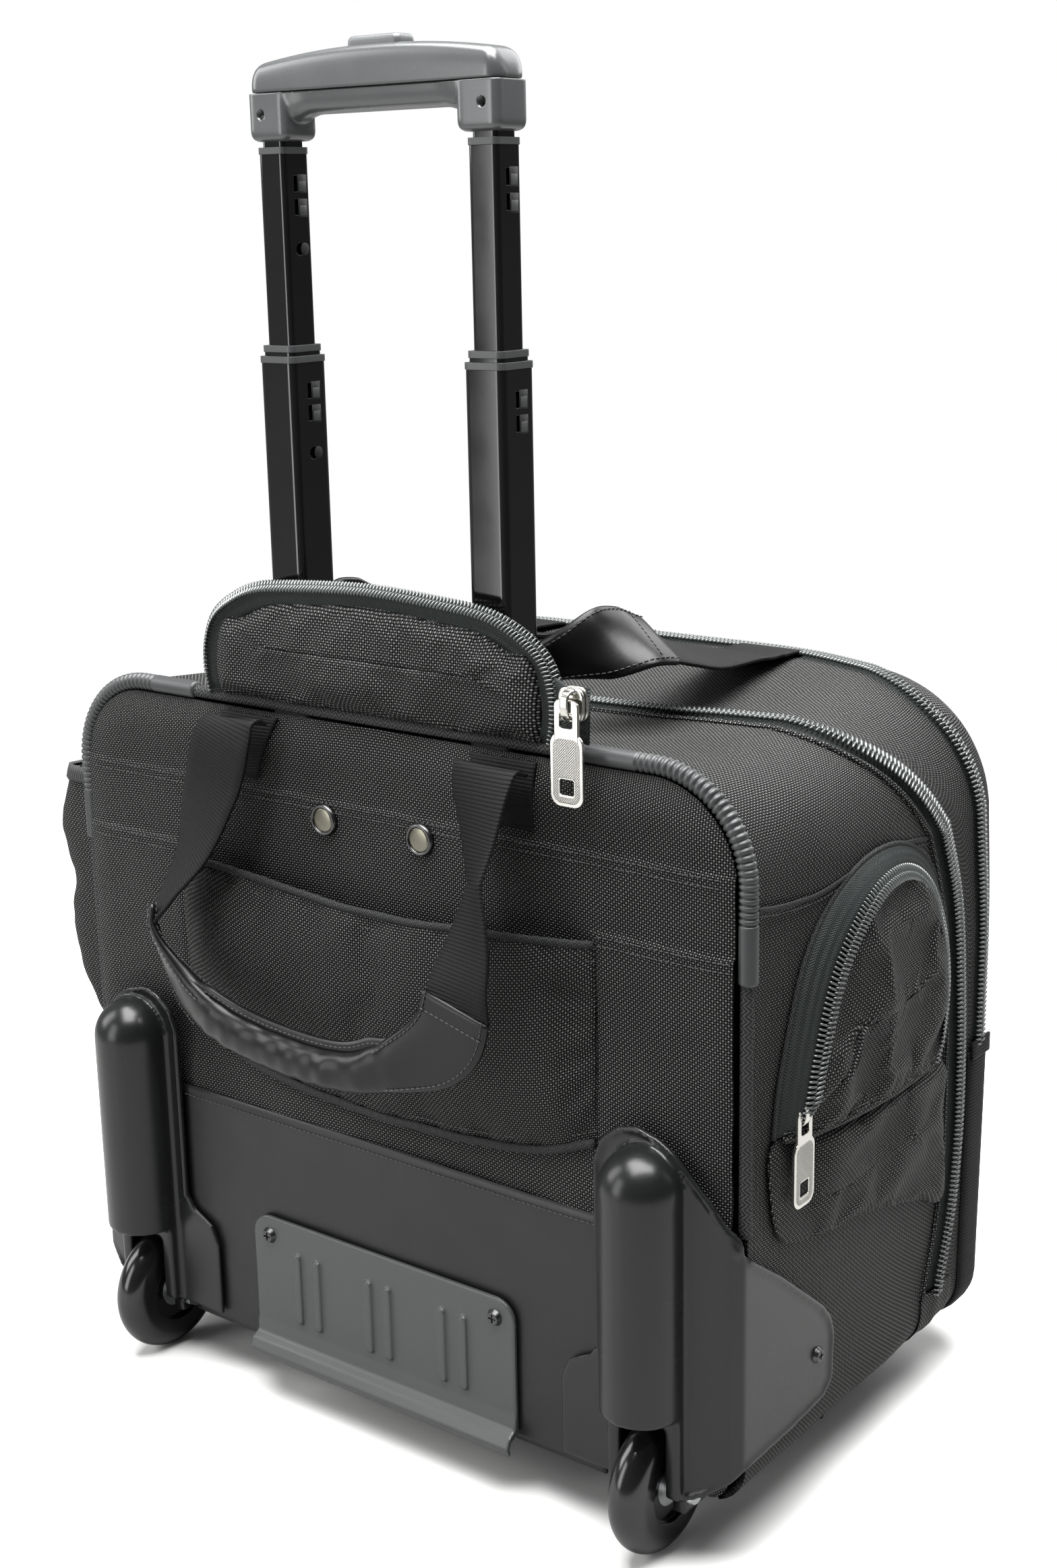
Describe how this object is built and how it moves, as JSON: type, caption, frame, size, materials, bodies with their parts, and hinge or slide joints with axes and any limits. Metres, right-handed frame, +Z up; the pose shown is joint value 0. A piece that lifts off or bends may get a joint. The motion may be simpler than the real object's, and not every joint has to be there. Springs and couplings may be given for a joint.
{
  "type": "rolling laptop case",
  "caption": "Soft wheeled case for a laptop, with a telescopic pull handle, carry handles, zipped pockets and corner wheel housings.",
  "frame": {"origin": "on the floor under the middle of the case's bounding box", "axes": "+Z up, +X to the right seen from the wheel and handle side, -Y the wheel and handle side, +Y the front pocket side"},
  "size_m": [0.465, 0.3378, 0.718],
  "materials": {
    "ballistic_nylon": "woven, slight sheen",
    "lining_pad": "smooth woven lining over foam",
    "inner_board": "matte sheet",
    "vinyl": "fine-grained matte vinyl",
    "piping": "bound edge",
    "guard_rubber": "satin",
    "snap_metal": "dark nickel",
    "skid_plastic": "fine texture",
    "screw_black": "black nickel",
    "housing_plastic": "fine spark texture",
    "axle_steel": "zinc plated",
    "foot_rubber": "matte",
    "inner_plastic": "matte",
    "sleeve_metal": "plain",
    "zip_nickel": "satin nickel",
    "wheel_urethane": "gloss",
    "tube_gloss": "gloss black",
    "collar_plastic": "satin",
    "grip_plastic": "satin",
    "button_plastic": "satin",
    "webbing": "ribbed webbing",
    "leather": "semi-gloss"
  },
  "bodies": {
    "case": {"rear_panel": "ballistic_nylon", "back_board": "inner_board", "main_gusset": "ballistic_nylon", "bottom_board": "inner_board", "padded_divider": "lining_pad", "vinyl_panel": "vinyl", "rear_piping": "piping", "corner_protectors": "guard_rubber", "patch_pocket": "ballistic_nylon", "snaps": "snap_metal", "side_pocket_left": "ballistic_nylon", "side_pocket_right": "ballistic_nylon", "skid_plate": "skid_plastic", "skid_screws": "screw_black", "wheel_housing_left": "housing_plastic", "wheel_housing_right": "housing_plastic", "housing_screws": "screw_black", "axle_bolts": "axle_steel", "axle_nuts": "axle_steel", "axle_spacers": "axle_steel", "rear_feet": "foot_rubber", "trolley_base": "inner_plastic", "trolley_sleeves": "sleeve_metal", "trolley_bezel": "inner_plastic", "hood_base": "ballistic_nylon", "zip_sliders": "zip_nickel"},
    "wheel_left": {"wheel_tyre_left": "wheel_urethane", "wheel_bearings_left": "axle_steel"},
    "wheel_right": {"wheel_tyre_right": "wheel_urethane", "wheel_bearings_right": "axle_steel"},
    "trolley_stage_a": {"tubes_a": "tube_gloss", "collars_a": "collar_plastic", "glides_a": "inner_plastic"},
    "trolley_stage_b": {"tubes_b": "tube_gloss", "collars_b": "collar_plastic", "glides_b": "inner_plastic"},
    "trolley_stage_c": {"tubes_c": "tube_gloss", "collars_c": "collar_plastic", "glides_c": "inner_plastic"},
    "trolley_grip": {"tubes_d": "tube_gloss", "glides_d": "inner_plastic", "grip_lower": "grip_plastic", "grip_upper": "grip_plastic", "grip_screws": "screw_black"},
    "release_button": {"button_cap": "button_plastic", "release_bar": "inner_plastic"},
    "hood": {"hood": "ballistic_nylon"},
    "rear_handle": {"rear_handle_webbing": "webbing", "rear_handle_grip": "leather"},
    "front_section": {"front_gusset": "ballistic_nylon", "front_divider": "lining_pad", "front_lower_panel": "ballistic_nylon", "front_zip_slider": "zip_nickel"},
    "front_flap": {"front_flap": "ballistic_nylon"},
    "front_handle": {"front_handle": "webbing"},
    "hood_puller": {"hood_puller": "zip_nickel"},
    "side_puller": {"side_puller": "zip_nickel"},
    "main_puller": {"main_puller": "zip_nickel"},
    "front_puller": {"front_puller": "zip_nickel"}
  },
  "joints": [
    {"name": "wheel_left_spin", "type": "hinge", "parent": "case", "child": "wheel_left", "pos_m": [-0.172, -0.117, 0.0365], "axis": [1, 0, 0], "continuous": true},
    {"name": "wheel_right_spin", "type": "hinge", "parent": "case", "child": "wheel_right", "pos_m": [0.172, -0.117, 0.0365], "axis": [1, 0, 0], "continuous": true},
    {"name": "trolley_a_slide", "type": "slide", "parent": "case", "child": "trolley_stage_a", "axis": [0, 0, 1], "range_m": [-0.168, 0]},
    {"name": "trolley_b_slide", "type": "slide", "parent": "trolley_stage_a", "child": "trolley_stage_b", "axis": [0, 0, 1], "range_m": [0, 0.091]},
    {"name": "trolley_c_slide", "type": "slide", "parent": "trolley_stage_b", "child": "trolley_stage_c", "axis": [0, 0, 1], "range_m": [-0.091, 0]},
    {"name": "trolley_grip_slide", "type": "slide", "parent": "trolley_stage_c", "child": "trolley_grip", "axis": [0, 0, 1], "range_m": [0, 0.091]},
    {"name": "release_button_press", "type": "slide", "parent": "trolley_grip", "child": "release_button", "axis": [0, 0, 1], "range_m": [-0.004, 0]},
    {"name": "hood_fold", "type": "hinge", "parent": "case", "child": "hood", "pos_m": [0, -0.114, 0.413], "axis": [1, 0, 0], "range_deg": [0, 40]},
    {"name": "rear_handle_swing", "type": "hinge", "parent": "case", "child": "rear_handle", "pos_m": [0, -0.129, 0.384], "axis": [-1, 0, 0], "range_deg": [0, 150]},
    {"name": "main_opening", "type": "hinge", "parent": "case", "child": "front_section", "pos_m": [0, 0.088, 0.052], "axis": [-1, 0, 0], "range_deg": [0, 20]},
    {"name": "front_flap_opening", "type": "hinge", "parent": "front_section", "child": "front_flap", "pos_m": [0, 0.161, 0.2], "axis": [-1, 0, 0], "range_deg": [0, 75]},
    {"name": "front_handle_swing", "type": "hinge", "parent": "front_flap", "child": "front_handle", "pos_m": [0, 0.1655, 0.397], "axis": [-1, 0, 0], "range_deg": [0, 225]},
    {"name": "hood_puller_swing", "type": "hinge", "parent": "case", "child": "hood_puller", "pos_m": [0.127, -0.1228, 0.42], "axis": [-1, 0, 0], "range_deg": [0, 100]},
    {"name": "side_puller_swing", "type": "hinge", "parent": "case", "child": "side_puller", "pos_m": [0.2237, -0.071, 0.226], "axis": [0, -1, 0], "range_deg": [0, 100]},
    {"name": "main_puller_swing", "type": "hinge", "parent": "case", "child": "main_puller", "pos_m": [-0.2265, 0.1, 0.286], "axis": [0, 1, 0], "range_deg": [0, 100]},
    {"name": "front_puller_swing", "type": "hinge", "parent": "front_section", "child": "front_puller", "pos_m": [-0.2255, 0.1305, 0.262], "axis": [0, 1, 0], "range_deg": [0, 100]}
  ]
}
